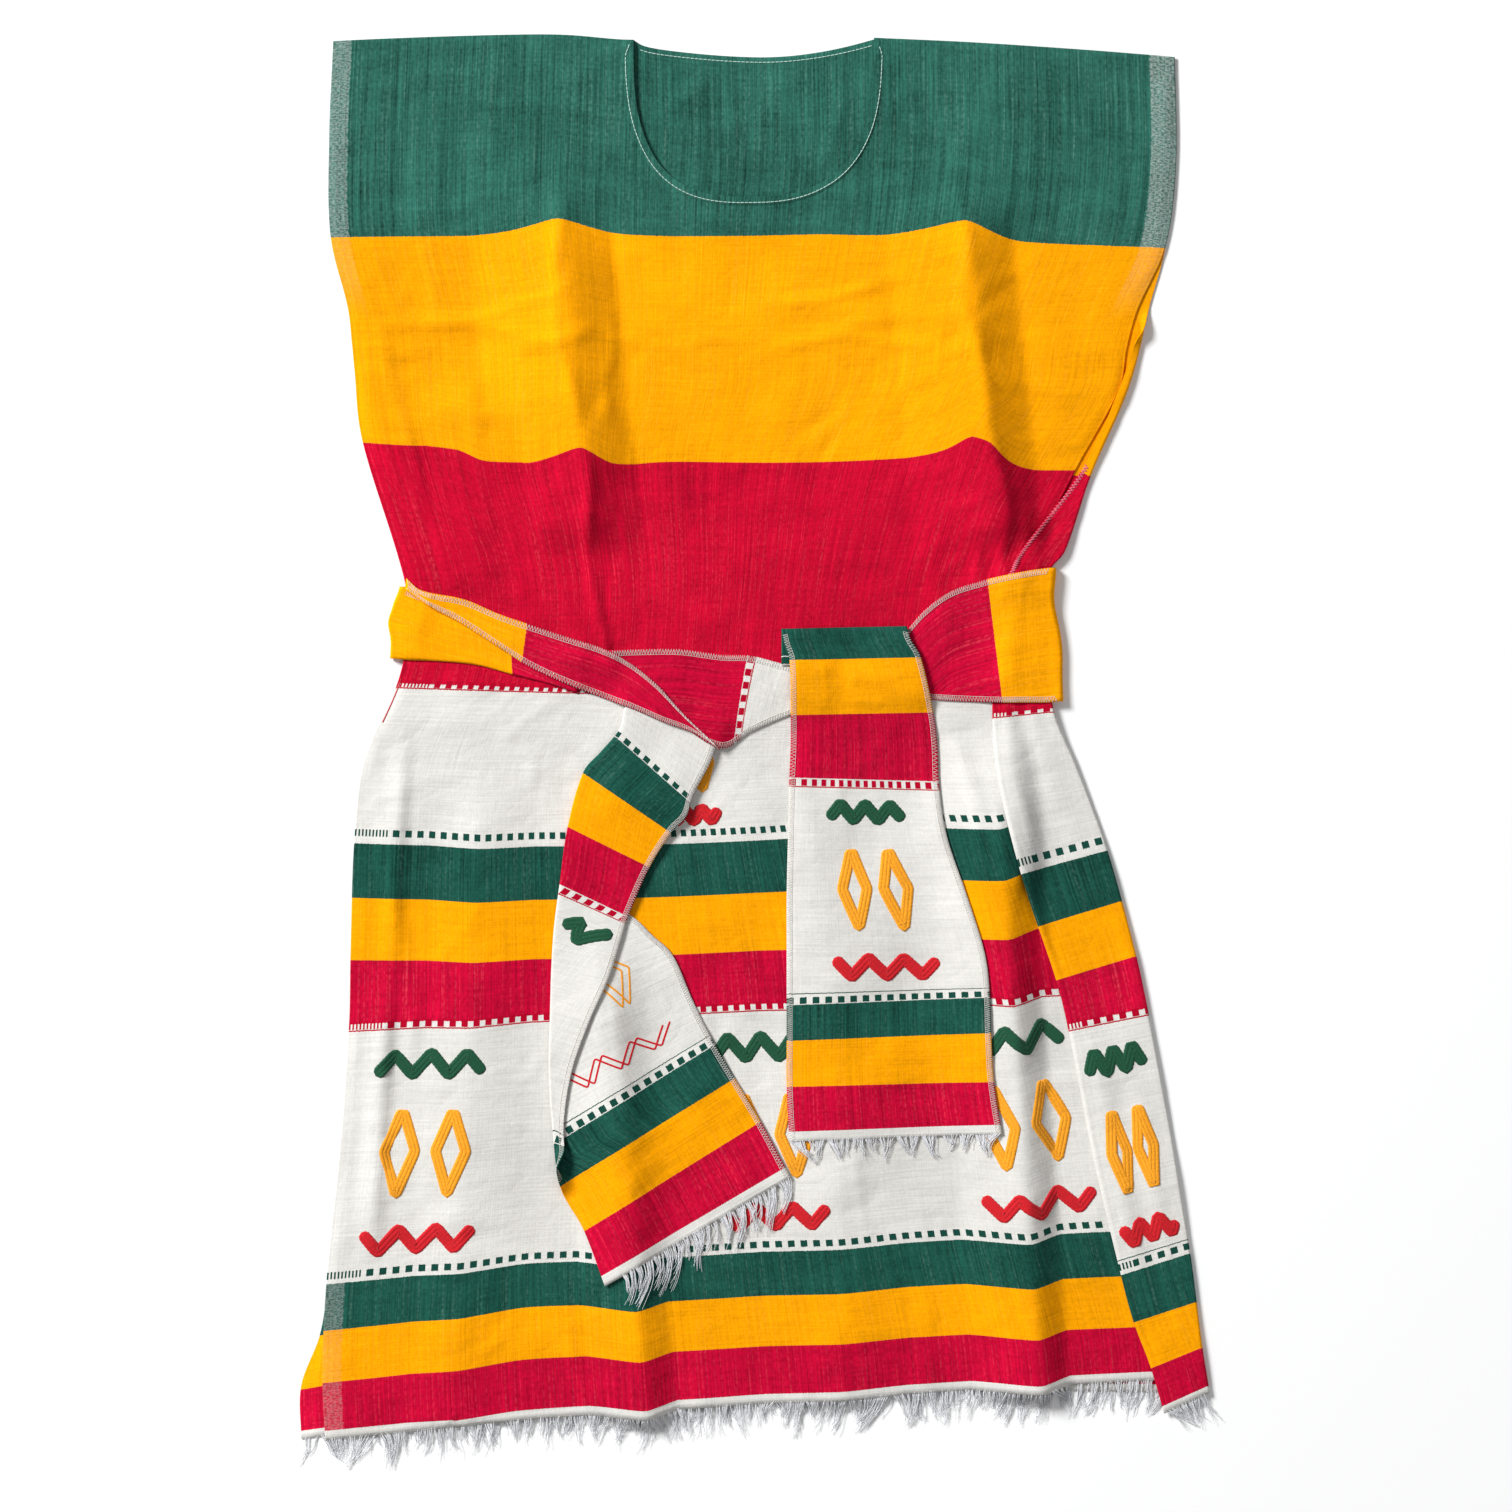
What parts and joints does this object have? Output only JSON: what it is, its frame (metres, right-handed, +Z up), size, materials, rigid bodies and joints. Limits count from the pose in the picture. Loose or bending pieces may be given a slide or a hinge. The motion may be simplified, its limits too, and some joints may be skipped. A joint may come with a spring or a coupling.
{
  "type": "habesha kemis dress",
  "caption": "Striped handwoven cotton dress laid flat, face up, with its own fringed sash tied round the waist.",
  "frame": {"origin": "middle of the laid dress's box, on the surface that it lies on", "axes": "+X to the right as seen from above, +Y from the hem to the neck, +Z up, away from the surface"},
  "size_m": [0.6898, 1.0812, 0.0175],
  "materials": {
    "front_cloth": "matt handwoven cotton in green, yellow, red and white bands",
    "back_cloth": "matt handwoven cotton in green, yellow, red and white bands",
    "sash_cloth": "matt handwoven cotton in green, yellow, red and white bands",
    "fringe": "loose greyish white cotton warp ends"
  },
  "bodies": {
    "root": {"front_panel": "front_cloth", "back_panel": "back_cloth", "sash_back": "sash_cloth", "sash_left_wrap": "sash_cloth", "sash_left_fold": "sash_cloth", "sash_middle": "sash_cloth", "sash_right_wrap": "sash_cloth", "sash_right_tail": "sash_cloth", "sash_left_tail": "sash_cloth", "front_fringe": "fringe", "back_fringe": "fringe", "flap_fringe": "fringe", "right_tail_fringe": "fringe", "left_tail_fringe": "fringe"}
  },
  "joints": []
}
